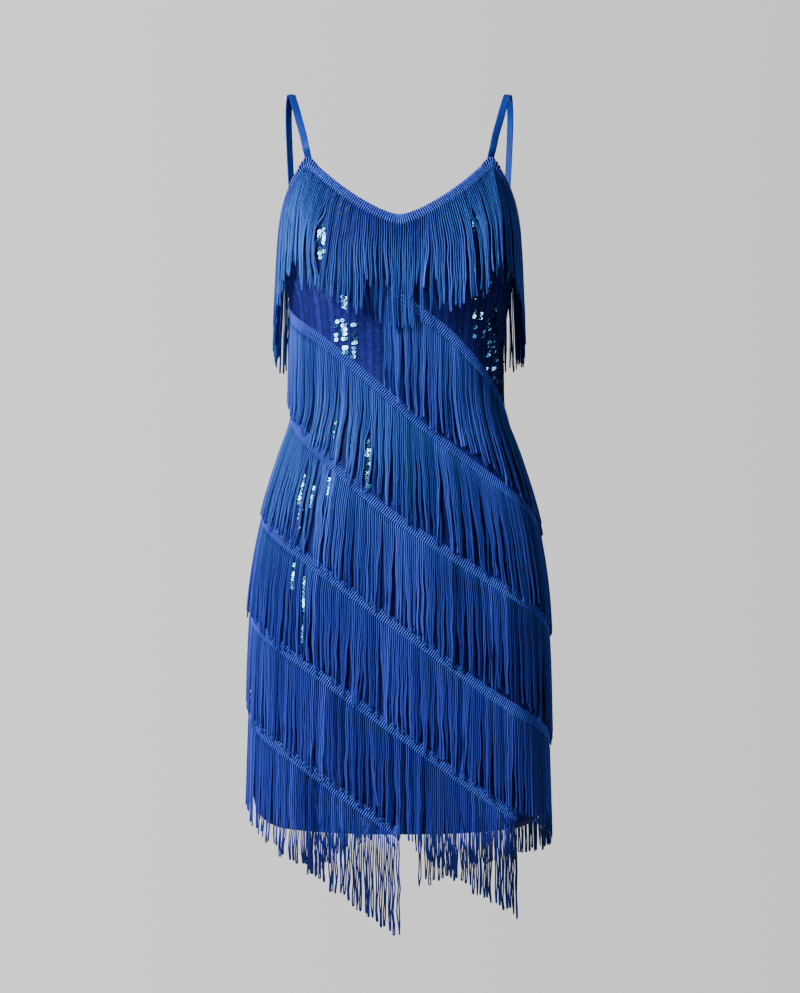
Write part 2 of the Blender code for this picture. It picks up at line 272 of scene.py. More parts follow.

# Sequins: upright rows in bands of one shade, a painted sheen, with painted shade on the row between bands.
# Some are bright: a share of every second one in a column that catches the light, and more of them in the
# partings of the left's lower fringe.
GIRTH = 0.98  # metres round the full hip
SEQUIN_SPACING = 0.0042
SEQUIN_PITCH = 0.0026
SEQUIN_HOLE = 0.44  # the hole's radius, over the sequin's
SEQUIN_THICKNESS = 0.0002
BAND_WIDTH = 0.0126  # three rows
BAND_TURNS = BAND_WIDTH / GIRTH
LEFT_GLINTS = 0.75
RIGHT_GLINTS = 0.5
LOW_GLINTS = 0.95
LOW_GLINTS_TOP = -0.37
SEQUIN_LIFTS = (0.0008, 0.0005)  # in turn
SEQUIN_TILT = 0.06
ROW_STEP = 0.0003  # how much the rows of a band close up
GLINT_LIFT = 0.0013
GLINT_GROWTH = 0.02
GLINT_SHADES = (0.9, 0.94, 1.0, 1.0)  # drawn by chance, without the first at the left: painted light, palest on the lit side
# painted shade: the shade of the bright ones low on the right, towards the deeper mirror colour
LOW_RIGHT_GLINT = 0.92
PLAIN_SHADE = 0.8  # the lightest of those that aren't bright
MIRROR_SHADE = 0.85  # bright sequins lie above it

# Camera: level, at the photo's distance and height
CAMERA_DISTANCE = 2.1
CAMERA_HEIGHT = -0.489
CAMERA_SIDE = 0.0006
LENS = 62.4
LIT_HEIGHT = -0.42  # where the lights point
KEY_PLACE = (-1.36, -1.66, 0.66)
LAMPS = table(
    "Lamp", "name place size power",
    ("key", KEY_PLACE, (0.5, 0.6), 84),
    ("side", (-1.5, -0.3, 0.0), (0.5, 0.6), 11),
    ("fill", (0.9, -2.4, 0.5), (1.2, 1.2), 5),
    ("behind", (0.3, 2.5, 0.8), (1.2, 1.2), 46),
)
AMBIENT = 0.12  # share of the backdrop's light that falls on the dress
BACKDROP_FALL = 0.6  # painted shade: how much darker the backdrop grows towards +X
FLOOR_HEIGHT = -1.35
FLOOR_RADIUS = 0.85


def length_prop(name, description, default, smallest, largest):
    return FloatProperty(
        name=name, description=description, default=default, min=smallest, max=largest, unit="LENGTH"
    )


def colour_prop(name, description, *default, largest=1):
    return FloatVectorProperty(
        name=name, description=description, default=default, subtype="COLOR", size=3, min=0, max=largest
    )


class DressSizes(PropertyGroup):
    cord_pitch: length_prop("Cord pitch", "From one cord to the next along a header", 0.0028, 0.002, 0.01)
    cord_radius: length_prop("Cord radius", "Half the thickness of a fringe cord", 0.00074, 0.0004, 0.003)
    sequin_radius: length_prop("Sequin radius", "Half the width of a sequin", 0.0024, 0.001, 0.006)
    cloth_thickness: length_prop("Cloth thickness", "Thickness of the stretch cloth", 0.0009, 0.0004, 0.003)
    seed: IntProperty(name="Seed", description="Changes how the cords sway and gather", default=7, min=0)


class DressColours(PropertyGroup):
    cord_deep: colour_prop("Cord, deep", "Darkest colour of the fringe cords", 0.015, 0.010, 0.23)
    cord_bright: colour_prop("Cord, bright", "Lightest colour of the fringe cords", 0.060, 0.088, 0.61)
    cloth: colour_prop("Cloth", "Colour of the stretch cloth under the fringe", 0.005, 0.006, 0.060)
    sequin: colour_prop("Sequin", "Colour of the sequins", 0.016, 0.020, 0.19)
    strap: colour_prop("Strap", "Colour of the satin straps", 0.012, 0.036, 0.30)
    thread: colour_prop("Thread", "Colour of the stitching on the headers", 0.03, 0.17, 0.70)
    backdrop: colour_prop("Backdrop", "Grey of the studio round the dress", 1.06, 1.06, 1.06, largest=2)


def smooth_curve(knots, values, at):
    """Values at any places on a smooth curve through the knots' own values, level beyond its ends."""
    knots, values = np.asarray(knots, float), np.asarray(values, float)
    slopes = np.gradient(values, knots, axis=0)
    at = np.clip(at, knots[0], knots[-1])
    low = np.clip(np.searchsorted(knots, at) - 1, 0, len(knots) - 2)
    span = knots[low + 1] - knots[low]
    share = (at - knots[low]) / span
    if values.ndim > 1:
        span, share = span[:, None], share[:, None]
    square, cube = share**2, share**3
    return (
        values[low] * (2 * cube - 3 * square + 1)
        + values[low + 1] * (3 * square - 2 * cube)
        + slopes[low] * span * (cube - 2 * square + share)
        + slopes[low + 1] * span * (cube - square)
    )


def smooth_column(heights, column):
    """A column of the section table at any heights."""
    rows = [section.height for section in SECTIONS]
    return smooth_curve(rows, [getattr(section, column) for section in SECTIONS], heights)


def signed_power(value, power):
    return np.sign(value) * np.abs(value) ** power


def girth_table(steps=2000):
    """Angles all round the full hip, and the turn that each is at along the girth."""
    hip = next(section for section in SECTIONS if section.name == "full hip")
    depth = (hip.front_depth + hip.back_depth) / 2
    angles = np.linspace(0, math.tau, steps + 1)
    x = -hip.half_width * signed_power(np.cos(angles), 2 / ROUNDNESS)
    y = -depth * signed_power(np.sin(angles), 2 / ROUNDNESS)
    along = np.concatenate([[0], np.cumsum(np.hypot(np.diff(x), np.diff(y)))])
    return angles, along / along[-1]


GIRTH_ANGLES, GIRTH_TURNS = girth_table()


def form(turn, height):
    """Points of the cloth's outer face, for arrays of turns and heights."""
    turn, height = np.broadcast_arrays(np.asarray(turn, float), np.asarray(height, float))
    angle = np.interp(turn % 1, GIRTH_TURNS, GIRTH_ANGLES)
    on_front = turn % 1 <= 0.5
    x = -smooth_column(height, "half_width") * signed_power(np.cos(angle), 2 / ROUNDNESS)
    front, back = smooth_column(height, "front_depth"), smooth_column(height, "back_depth")
    y = -np.where(on_front, front, back) * signed_power(np.sin(angle), 2 / ROUNDNESS)
    aside = (np.abs(x) - CUP.across) / CUP.width
    above = (height - CUP.height) / CUP.tall
    cup = CUP.depth * np.exp(-(aside**2) - above**2) * np.sin(angle)
    y = y - np.where(on_front, cup, 0)
    return np.stack([x, y, height], axis=-1)


def creased(turn, height):
    """Points of the cloth's outer face with its drag lines."""
    depth = np.zeros(np.broadcast(turn, height).shape)
    for crease in CREASES:
        share = (crease.top - height) / (crease.top - crease.bottom)
        middle = crease.top_turn + np.clip(share, 0, 1) * (crease.bottom_turn - crease.top_turn)
        away = (turn % 1 - middle) * metres_per_turn(0.25, crease.top) / crease.half_width
        depth += crease.depth * np.exp(-(away**2)) * np.sin(math.pi * np.clip(share, 0, 1))
    return form(turn, height) - depth[..., None] * outward(turn, height)


def unit(vectors):
    return vectors / np.maximum(np.linalg.norm(vectors, axis=-1, keepdims=True), 1e-12)


def outward(turn, height, level=False):
    """The cloth's outward directions, or their level part."""
    step = 0.002
    along = form(turn + step, height) - form(turn - step, height)
    up = form(turn, height + step) - form(turn, height - step)
    direction = unit(np.cross(along, up))
    if level:
        direction[..., 2] = 0
    return unit(direction)


def metres_per_turn(turn, height):
    step = 0.002
    return np.linalg.norm(form(turn + step, height) - form(turn - step, height), axis=-1) / (2 * step)


def front_top(turn):
    """The heights of the front's top edge: the V of the neckline, then the armholes."""
    across = np.minimum(turn, 0.5 - turn)
    share = np.clip(1 - across / STRAP_POINT_TURN, 0, 1)
    armhole = STRAP_POINT - (STRAP_POINT - UNDERARM) * share**ARMHOLE_CURVE
    side = np.abs(form(turn, STRAP_POINT)[..., 0])
    strap_side = np.abs(form(STRAP_POINT_TURN, STRAP_POINT)[..., 0])
    neck = V_POINT + (STRAP_POINT - V_POINT) * (side / strap_side) ** V_CURVE
    return np.where(across < STRAP_POINT_TURN, armhole, neck)


def back_top(turn):
    """The heights of the back's top edge, which dips a little to its centre."""
    return UNDERARM - BACK_DIP * np.sin(math.tau * (turn % 1 - 0.5)) ** 2


def hem_height(turn):
    """The heights of the hem, which rises to the side seams."""
    from_seam = np.abs((turn + 0.25) % 0.5 - 0.25)
    return HEM + HEM_RISE * np.clip(1 - from_seam / HEM_RISE_REACH, 0, 1) ** HEM_RISE_POWER


def edge_top(turn):
    return np.where(turn % 1 <= 0.5, front_top(turn % 1), back_top(turn))


def strip_top(strip):
    """The heights of a long strip's top edge as a function of the turn."""
    return lambda turn: smooth_curve(SPIRAL_TURNS, strip.heights, turn)


def windings(turn):
    """For each winding of each long strip: True where it passes the turns, and its top edge's heights."""
    for strip in STRIPS:
        for whole in (-1, 0, 1):
            columns = (turn + whole) * COLUMNS_PER_TURN
            within = (columns > strip.first_column) & (columns < strip.last_column)
            yield within, strip_top(strip)(turn + whole)


def drop_to_next(turn, top):
    """The drop from a long strip's top edge to the top edge of the next strip below, or its own drop."""
    drop = np.full(len(turn), SPIRAL.drop)
    for within, next_top in windings(turn):
        gap = top - next_top
        below = within & (gap > NEXT_HEADER[0]) & (gap < NEXT_HEADER[1])
        drop = np.where(below, np.clip(gap + PAST_HEADER, SPIRAL.drop - LESS_DROP, LONGEST_DROP), drop)
    return drop


def coverage(turn, height, margin):
    """True where a fringe hides the cloth, down to a margin above the fringe's ends."""
    turn = turn % 1
    hidden = height > edge_top(turn) - EDGE.drop + margin
    for within, top in windings(turn):
        hidden |= within & (height < top) & (height > top - SPIRAL.drop + margin)
    return hidden


class Value:
    """A shader socket that takes part in sums. Each operator adds its Math node."""

    def __init__(self, graph, socket):
        self.graph, self.socket = graph, socket

    def _with(self, operation, *others):
        return self.graph.node("ShaderNodeMath", {"operation": operation}, [self, *others])

    def __add__(self, other):
        return self._with("ADD", other)

    def __sub__(self, other):
        return self._with("SUBTRACT", other)

    def __mul__(self, other):
        return self._with("MULTIPLY", other)

    def __truediv__(self, other):
        return self._with("DIVIDE", other)

    def __rsub__(self, other):
        return self.graph.node("ShaderNodeMath", {"operation": "SUBTRACT"}, [other, self])

    __radd__ = __add__
    __rmul__ = __mul__

    def fract(self):
        return self._with("FRACT")

    def floor(self):
        return self._with("FLOOR")

    def over(self, other):
        return self._with("GREATER_THAN", other)

    def sqrt(self):
        return self._with("SQRT")

    def clamped(self):
        return self.graph.node("ShaderNodeClamp", {}, [self])

    def wave(self, length):
        """A sine wave along this value."""
        return (self * (math.tau / length))._with("SINE")


class Graph:
    """The nodes of a material or of the world, and the one shader that they feed."""

    def __init__(self, owner, shader, constants):
        self.material = owner
        owner.use_nodes = True
        self.tree = owner.node_tree
        self.surface = self.tree.nodes[shader]
        for socket, value in constants.items():
            self.surface.inputs[socket].default_value = value

    def node(self, kind, settings, sockets, output=0):
        """Adds a node, sets it up, then fills its sockets by order or by name with values or links."""
        made = self.tree.nodes.new(kind)
        for name, value in settings.items():
            setattr(made, name, value)
        pairs = sockets.items() if isinstance(sockets, dict) else enumerate(sockets)
        for key, value in pairs:
            if isinstance(value, Value):
                self.tree.links.new(value.socket, made.inputs[key])
            else:
                made.inputs[key].default_value = value
        return Value(self, made.outputs[output])

    def feed(self, socket, value):
        self.tree.links.new(value.socket, self.surface.inputs[socket])

    def attribute(self, name):
        return self.node("ShaderNodeAttribute", {"attribute_name": name}, {}, output="Fac")

    def across_and_along(self):
        """The two numbers of the piece's own UV map, in metres."""
        place = self.node("ShaderNodeUVMap", {"uv_map": "metres"}, {})
        return [self.node("ShaderNodeSeparateXYZ", {}, [place], output=axis) for axis in (0, 1)]

    def paint(self, tone, *stops):
        """Colours the surface by a ramp, whose stops are pairs of a place and a colour."""
        painted = self.node("ShaderNodeValToRGB", {}, {"Fac": tone})
        ramp = painted.socket.node.color_ramp
        while len(ramp.elements) < len(stops):
            ramp.elements.new(0.5)
        for element, (place, colour) in zip(ramp.elements, stops):
            element.position = place
            element.color = (*colour, 1)
        self.feed("Base Color", painted)

    def bump(self, height, strength, distance):
        sockets = {"Height": height, "Strength": strength, "Distance": distance}
        self.feed("Normal", self.node("ShaderNodeBump", {}, sockets, output="Normal"))


def finish(name, roughness, gloss, gloss_colour=(1, 1, 1), **constants):
    """A new material of one roughness and gloss, with any other constants of the Principled shader."""
    settings = {"Roughness": roughness, "Specular IOR Level": gloss, "Specular Tint": (*gloss_colour, 1)}
    settings.update({socket.replace("_", " "): value for socket, value in constants.items()})
    return Graph(bpy.data.materials.new(name), "Principled BSDF", settings)


def scaled(colour, share):
    return tuple(part * share for part in colour)


def cord_material(colours):
    """Twisted silky cord: each cord has its own shade, and fine slanting plies."""
    graph = finish("fringe_cord", 0.34, 0.6, (0.04, 0.76, 1.0))
    around, along = graph.across_and_along()
    plies = (around + along * CORD_TWIST).wave(1)
    deep, bright = tuple(colours.cord_deep), tuple(colours.cord_bright)
    # The darkest stop holds the painted shade of the cords below the hem
    unlit = tuple(part * 0.35 + 0.007 for part in deep)
    middle = tuple((low + high) * 0.42 for low, high in zip(deep, bright))
    # The lightest stop is the painted highlight of the ribs
    rib = tuple(min(1, part * 1.7) for part in bright)
    tone = graph.attribute("shade") + plies * 0.04
    graph.paint(tone, (0.0, unlit), (0.12, deep), (0.42, middle), (0.82, bright), (1.0, rib))
    graph.bump(plies, 0.35, 0.00012)
    return graph.material


def cloth_material(colours):
    """Stretch cloth sewn with upright rows of overlapping sequins, whose lower edges are small arcs."""
    graph = finish("sequinned_cloth", 0.42, 0.12, (0.5, 0.7, 1.0))
    across, along = graph.across_and_along()
    column = across / SEQUIN_SPACING
    x = column.fract() - 0.5
    row = along / SEQUIN_PITCH + (0.25 - x * x).sqrt() * 0.9
    cell = graph.node("ShaderNodeCombineXYZ", {}, [column.floor(), row.floor(), 0.0])
    chance = graph.node("ShaderNodeTexWhiteNoise", {"noise_dimensions": "3D"}, {"Vector": cell})
    in_band = {"W": (across / BAND_WIDTH).floor()}
    band = graph.node("ShaderNodeTexWhiteNoise", {"noise_dimensions": "1D"}, in_band)
    ramp = row.fract()
    # Painted shade: each sequin grows lighter along its ramp and darker towards the sides of its row. The
    # band's random tone is a painted sheen of rows that tilt differently; the cell's chance is a random
    # tone.
    tone = (ramp * 0.35 + chance * 0.25 + band * 0.45) * (x * x * -2.2 + 1)
    graph.paint(tone, (0.0, colours.cloth), (1.0, colours.sequin))
    graph.feed("Roughness", 0.5 - chance * 0.2)
    graph.bump(ramp + x * (chance - 0.5) * 0.8, 0.5, 0.0005)
    return graph.material


def sequin_material(colours):
    """Glossy sequins. Those with a shade near 1 are mirror-bright, in a pale sea blue; the deeper mirror
    colour near 0.9 is painted shade.
    """
    graph = finish("sequin", 0.4, 0.12, (0.5, 0.75, 1.0), Coat_Roughness=0.08)
    shade = graph.attribute("shade")
    bright = shade.over(MIRROR_SHADE)
    dark, light = scaled(colours.sequin, 0.5), scaled(colours.sequin, 1.6)
    # The deep mirror colour is painted shade, for bright sequins away from the light on the right
    deep_mirror, pale_mirror = (0.006, 0.03, 0.11), (0.03, 0.13, 0.20)
    graph.paint(shade, (0.0, dark), (PLAIN_SHADE, light), (0.9, deep_mirror), (0.98, pale_mirror))
    graph.feed("Metallic", bright * 0.9)
    graph.feed("Coat Weight", bright * 0.3)
    graph.feed("Roughness", 0.45 - bright * 0.25)
    return graph.material


def strap_material(colours):
    """Satin-faced strap with fine cross ribs."""
    graph = finish("strap_satin", 0.4, 0.3, (0.3, 0.6, 1.0), Anisotropic=0.4)
    across, along = graph.across_and_along()
    ribs = along.wave(0.0007) * 0.5 + across.wave(0.0009) * 0.3
    graph.paint(ribs * 0.3 + 0.5, (0.0, scaled(colours.strap, 0.7)), (1.0, scaled(colours.strap, 1.25)))
    graph.bump(ribs, 0.3, 0.00015)
    return graph.material


def thread_material(colours):
    """Sewing thread, a little lighter where its twist turns up."""
    graph = finish("thread", 0.45, 0.5, (0.4, 0.65, 1.0))
    around, along = graph.across_and_along()
    twist = (around + along * THREAD_TWIST).wave(1) * 0.5 + 0.5
    graph.paint(twist, (0.0, scaled(colours.thread, 0.6)), (1.0, colours.thread))
    return graph.material


def tape_material(colours):
    """The woven tape under the ribs of a header, painted dark as the shade between the ribs."""
    graph = finish("header_tape", 0.9, 0.05)
    weave = graph.across_and_along()[1].wave(0.0008)
    # Painted shade: the tape is far darker than the cords; its weave is a pattern
    deep = colours.cord_deep
    graph.paint(weave * 0.5 + 0.5, (0.0, scaled(deep, 0.15)), (1.0, scaled(deep, 0.3)))
    return graph.material


def make_mesh(name, points, quads, caps, uvs, shade, material):
    """An object from arrays: quads and end caps by point number, UVs a corner and shades a point."""
    mesh = bpy.data.meshes.new(name)
    faces = [np.asarray(some, np.int32) for some in (quads, caps) if len(some)]
    corners = np.concatenate([some.ravel() for some in faces])
    sizes = np.concatenate([np.full(len(some), some.shape[1], np.int32) for some in faces])
    mesh.vertices.add(len(points))
    mesh.vertices.foreach_set("co", np.asarray(points, np.float32).ravel())
    mesh.loops.add(len(corners))
    mesh.loops.foreach_set("vertex_index", corners)
    mesh.polygons.add(len(sizes))
    mesh.polygons.foreach_set("loop_start", (np.cumsum(sizes) - sizes).astype(np.int32))
    mesh.update(calc_edges=True)
    mesh.validate()
    mesh.shade_smooth()
    if uvs is not None:
        layer = mesh.uv_layers.new(name="metres")
        layer.uv.foreach_set("vector", np.asarray(uvs, np.float32)[corners].ravel())
    if shade is not None:
        values = mesh.attributes.new("shade", "FLOAT", "POINT")
        values.data.foreach_set("value", np.asarray(shade, np.float32))
    mesh.materials.append(material)
    piece = bpy.data.objects.new(name, mesh)
    bpy.context.scene.collection.objects.link(piece)
    return piece


def run_along(points):
    """How far along their paths the points lie."""
    steps = np.linalg.norm(np.diff(points, axis=-2), axis=-1)
    return np.concatenate([np.zeros((*steps.shape[:-1], 1)), np.cumsum(steps, axis=-1)], axis=-1)


def ring_faces(count, rings, sides):
    """The quads between the rings of several tubes, and the faces at their ends, by point number."""
    number = np.arange(count * rings * sides).reshape(count, rings, sides)
    turned = np.roll(number, -1, axis=2)
    quads = np.stack([number[:, :-1], turned[:, :-1], turned[:, 1:], number[:, 1:]], axis=-1)
    return quads.reshape(-1, 4), np.concatenate([number[:, 0, ::-1], number[:, -1]])


def tubes(paths, facing, radius, sides, shade):
    """Round tubes along many paths at once. paths is (tubes, rings, 3), and the others fit it.

    Returns the points, quads, end caps, UVs and shades for make_mesh."""
    count, rings, _ = paths.shape
    tangent = unit(np.gradient(paths, axis=1))
    side = unit(np.cross(tangent, facing))
    front = np.cross(side, tangent)
    angles = (np.arange(sides) * math.tau / sides)[:, None]
    ring = np.cos(angles) * front[:, :, None] + np.sin(angles) * side[:, :, None]
    points = paths[:, :, None] + np.broadcast_to(radius, (count, rings))[..., None, None] * ring
    uvs = np.empty((count, rings, sides, 2))
    uvs[..., 0] = np.arange(sides) / sides
    uvs[..., 1] = run_along(paths)[..., None]
    shades = np.repeat(shade.reshape(-1), sides)
    return points.reshape(-1, 3), *ring_faces(count, rings, sides), uvs.reshape(-1, 2), shades


def joined(batches):
    """Several batches of tubes as one. Four-sided caps go with the quads, and the others stay apart."""
    points, quads, caps, uvs, shades, start = [], [], [], [], [], 0
    for batch in batches:
        points.append(batch[0])
        quads.append(batch[1] + start)
        (quads if batch[2].shape[1] == 4 else caps).append(batch[2] + start)
        uvs.append(batch[3])
        shades.append(batch[4])
        start += len(batch[0])
    caps = np.concatenate(caps) if caps else ()
    return np.concatenate(points), np.concatenate(quads), caps, np.concatenate(uvs), np.concatenate(shades)


# A header's lower edge: arrays with one value for each cord
Rail = namedtuple("Rail", "turn height header lean_turn lean_height along")


def header_height(turn, style):
    """The header's height, measured plumb. On the steep armholes it grows, to keep its width."""
    down = 1 - np.minimum(turn % 1, 0.5 - turn % 1) / STRAP_POINT_TURN
    widening = ARMHOLE_WIDENING * np.sin(math.pi * np.clip(down, 0, 1)) * (turn % 1 < 0.5)
    return style.header * (1 + widening * (style is EDGE))


def header_rail(top_of, first, last, style, pitch):
    """Where each cord leaves the header's lower edge, and how its rib leans from there to the top edge."""
    turns = np.linspace(first, last, 3000)
    header = header_height(turns, style)
    heights = top_of(turns) - header
    points = form(turns, heights)
    run = run_along(points)
    count = int(run[-1] / pitch) // 2 * 2
    along = (np.arange(count) + 0.5) / count * run[-1]
    turn = np.interp(along, run, turns)
    slope = np.gradient(heights, run_along(points[:, :2]))
    window = max(3, int(SLOPE_REACH / run[-1] * len(turns)))
    padded = np.pad(slope, window, mode="edge")
    slope = np.convolve(padded, np.ones(2 * window + 1) / (2 * window + 1), mode="valid")
    angle = -np.arctan(np.interp(along, run, slope))
    angle *= np.clip(np.minimum(along, run[-1] - along) / UPRIGHT_REACH, 0, 1)
    height = np.interp(along, run, heights)
    header = np.interp(along, run, header)
    lean = header * np.sin(angle) * np.cos(angle)
    return Rail(
        turn, height, header, lean / metres_per_turn(turn, height), header * np.cos(angle) ** 2, along
    )


def parted(turn, height):
    """How far the partings push each cord sideways, for arrays of cords and of heights along them."""
    side = np.zeros_like(height)
    for parting in PARTINGS:
        middle = turn_at(parting.across, (parting.top + parting.bottom) / 2)
        away = (turn - middle) * metres_per_turn(middle, parting.top)
        reach = 4 * parting.half_gap
        push = parting.half_gap * np.clip(1 - np.abs(away) / reach, 0, 1) * np.where(away < 0, -1, 1)
        below_top = np.clip((parting.top + PARTING_FADE - height) / PARTING_FADE, 0, 1)
        open_share = below_top * np.clip((height - parting.bottom + PARTING_FADE) / PARTING_FADE, 0, 1)
        side += push * open_share * open_share * (3 - 2 * open_share)
    return side


def swept(turn):
    """How many turns the bust pushes each of the neckline's cords aside. At the back it is none."""
    from_centre = (turn % 1) - 0.25
    bump = np.exp(-(((np.abs(from_centre) - SWEEP_TURN) / SWEEP_WIDTH) ** 2))
    fade = np.clip((0.25 - np.abs(from_centre)) / 0.10, 0, 1)
    return np.sign(from_centre) * SWEEP * bump * fade / metres_per_turn(0.15, STRAP_POINT)


def turn_at(across, height):
    """The turn on the front that is this far across at a height."""
    turns = np.linspace(0.001, 0.499, 500)
    return float(np.interp(across, form(turns, height)[:, 0], turns))


def on_header(rail, share, lift):
    """Points above a header, at shares of the way up from its lower edge, and its outward directions."""
    turn = rail.turn + share * rail.lean_turn
    height = rail.height + share * rail.lean_height
    out = outward(turn, height)
    return form(turn, height) + lift * out, out


def hang_lengths(rail, style, layer, above_hem, by_group, rng):
    """How far each cord hangs down from its header's lower edge."""
    pairs = len(rail.turn) // 2
    drop = style.drop if style is EDGE else drop_to_next(rail.turn, rail.height + rail.header)[:, None]
    length = drop - rail.header[:, None] + rng.normal(0, style.uneven, (pairs, 1)).repeat(2, axis=0)
    length = length + by_group(style.uneven) - layer * UNDER_SHORTER
    if style is EDGE and layer == 0:
        central = np.abs(rail.turn - 0.25) < SHORT_CORDS_REACH
        short = central & (rng.uniform(0, 1, pairs).repeat(2) < SHORT_CORDS_SHARE)
        length = length - (short * SHORTER_BY)[:, None]
    if layer == 1:
        length = np.minimum(length, np.maximum(above_hem - UNDER_ABOVE_HEM, UNDER_SHORTEST))
    return length


def beside_form(turn, height, lift, side):
    """Points of cords that hang beside the form, no further in than higher up, and which way they face."""
    body = form(turn, height)
    for axis in (0, 1):
        widest = np.maximum.accumulate(np.abs(body[..., axis]), axis=1)
        body[..., axis] = np.sign(body[..., axis]) * widest
    out = outward(turn, height, level=True)
    along_girth = np.stack([-out[..., 1], out[..., 0], np.zeros_like(height)], axis=-1)
    return body + lift[..., None] * out + side[..., None] * along_girth, out[:, 0]


def cord_legs(rail, style, layer, rng):
    """The middle lines of the cords, (cords, rings, 3), top to end, which way each faces, and how free
    each ring hangs below the hem."""
    count = len(rail.turn)
    pairs, share, place = count // 2, HANG_SHARES, rail.along
    group = np.repeat(np.arange(pairs), rng.integers(1, LARGEST_GROUP + 1, pairs))[:pairs].repeat(2)
    groups = group.max() + 1
    by_group = lambda scale: rng.normal(0, scale, groups)[group, None]
    centre = np.array([place[group == g].mean() for g in range(groups)])[group]
    partner = place.reshape(-1, 2).mean(axis=1).repeat(2)
    pull = np.clip(rng.normal(style.gather, GATHER_SPREAD, groups), 0.0, MOST_GATHER)[group]
    above_hem = (rail.height - hem_height(rail.turn))[:, None]
    length = hang_lengths(rail, style, layer, above_hem, by_group, rng)
    drop = share * length
    hangs_free = np.clip((length - above_hem) / FREE_REACH, 0, 1)
    side = (centre - place)[:, None] * pull[:, None] * (1 - 0.8 * hangs_free) * share**1.2
    side += (partner - place)[:, None] * (0.55 - 0.3 * hangs_free) * share**4
    side += by_group(style.sway) * share**1.5
    strays = rng.uniform(0, 1, pairs) < STRAY_SHARE
    side += (strays * rng.normal(0, STRAY_REACH, pairs)).repeat(2)[:, None] * share**2
    phase = rng.uniform(0, math.tau, (count, 1))
    side += WAVE * np.sin(math.tau * (drop / SHARED_WAVE[0] + place[:, None] / SHARED_WAVE[1]))
    wavelength = rng.uniform(SHORTEST_WAVE, LONGEST_WAVE, (count, 1))
    side += WAVE * np.sin(math.tau * drop / wavelength + phase) * share**0.5
    lift = style.root_lift + (style.end_lift - style.root_lift) * share**0.8
    lift = lift + np.abs(by_group(LIFT_SPREADS[0])) * share
    lift += rng.normal(0, LIFT_SPREADS[1], (count, 1)) * share**0.5 - layer * UNDER_LAYER
    lift[:, 0] = FIRST_LIFTS[layer]
    height = rail.height[:, None] - drop - HEADER_GAP
    turn = rail.turn[:, None] + np.zeros_like(drop)
    if style is EDGE:
        turn = turn + swept(rail.turn)[:, None] * np.clip(share / SWEPT_BY, 0, 1) ** 0.9
    side += parted(turn % 1, height)
    free = np.clip((hem_height(turn) - height) / FREE_FROM, 0, 1)
    wave = FREE_WAVE * np.sin(math.tau * drop / wavelength + phase * 2)
    side += (by_group(FREE_SWAY) + wave) * free
    legs, facing = beside_form(turn, height, lift, side)
    if layer == 0:
        columns = Rail(*(values[:, None] for values in rail))
        ribs, _ = on_header(columns, RIB_SHARES, RIB_LIFTS[:, None])
        legs = np.concatenate([ribs, legs], axis=1)
        free = np.concatenate([np.zeros((count, len(RIB_SHARES))), free], axis=1)
    return legs, facing, free


def looped(legs):
    """Joins each cord with its neighbour by a round end, as one path down and up again."""
    down, up = legs[0::2], legs[1::2][:, ::-1]
    first, last = down[:, -1], up[:, 0]
    turns = []
    for share, fall in ((0.15, 0.0009), (0.5, 0.0014), (0.85, 0.0009)):
        bend = first + (last - first) * share
        bend[:, 2] = np.minimum(first[:, 2], last[:, 2]) - fall
        turns.append(bend[:, None])
    return np.concatenate([down, *turns, up], axis=1)


def cord_shades(count, rings, with_ribs, rng):
    """A shade for each cord, which changes a little along it, with a painted highlight on its rib."""
    streak = rng.normal(0, STREAK_SPREAD, count // STREAK_CORDS + 1).repeat(STREAK_CORDS)[:count, None]
    shade = np.clip(rng.normal(CORD_SHADE, CORD_SHADE_SPREAD, (count, 1)) + streak, 0.03, 0.85)
    shade = shade + rng.normal(0, 0.05, (count, 1)) * np.linspace(-1, 1, rings)
    if with_ribs:
        # painted highlight on the rib
        shade[:, RIB_RINGS] = shade[:, RIB_RINGS] * 0.2 + RIB_PAINTED_HIGHLIGHT
    return np.clip(shade, 0, 1)


def painted_root_shades(with_ribs):
    """What the shade of an upper edge's cord is multiplied by, ring by ring, down and up again: painted
    shade near the header.
    """
    leg = np.interp(HANG_SHARES, (0, ROOT_REACH), (1 - ROOT_PAINTED_SHADE, 1))
    ribs = np.ones(len(RIB_SHARES) if with_ribs else 0)
    return np.concatenate([ribs, leg, np.ones(3), leg[::-1], ribs])


def hung_fringe(name, rail, style, cord_radius, material, seed):
    """All the looped cords of one strip, in two layers, as one piece."""
    rng = np.random.default_rng(seed)
    every_other_pair = np.arange(len(rail.turn)) % 4 < 2
    under_rail = Rail(*(values[every_other_pair] for values in rail))
    batches = []
    for layer, (hung_on, sides) in enumerate(((rail, 5), (under_rail, 4))):
        legs, facing, free = cord_legs(hung_on, style, layer, rng)
        paths = looped(legs)
        free = np.concatenate([free[0::2], np.repeat(free[0::2, -1:], 3, axis=1), free[1::2, ::-1]], axis=1)
        # Painted shade darkens the under layer
        shade = cord_shades(len(paths), paths.shape[1], layer == 0, rng) * (1 - UNDER_PAINTED_SHADE * layer)
        # Painted shade on the cords below the hem
        shade *= 1 - FREE_PAINTED_SHADE * free
        # Painted shade on the upper edges' cords just below their header
        if style is EDGE:
            shade *= painted_root_shades(layer == 0)
        radius = cord_radius * (1 + FREE_THICKER * free)
        if layer == 0:
            radius[:, RIB_RINGS] *= RIB_THINNER
        batches.append(tubes(paths, facing[0::2, None], radius, sides, shade))
    return make_mesh(name, *joined(batches), material)


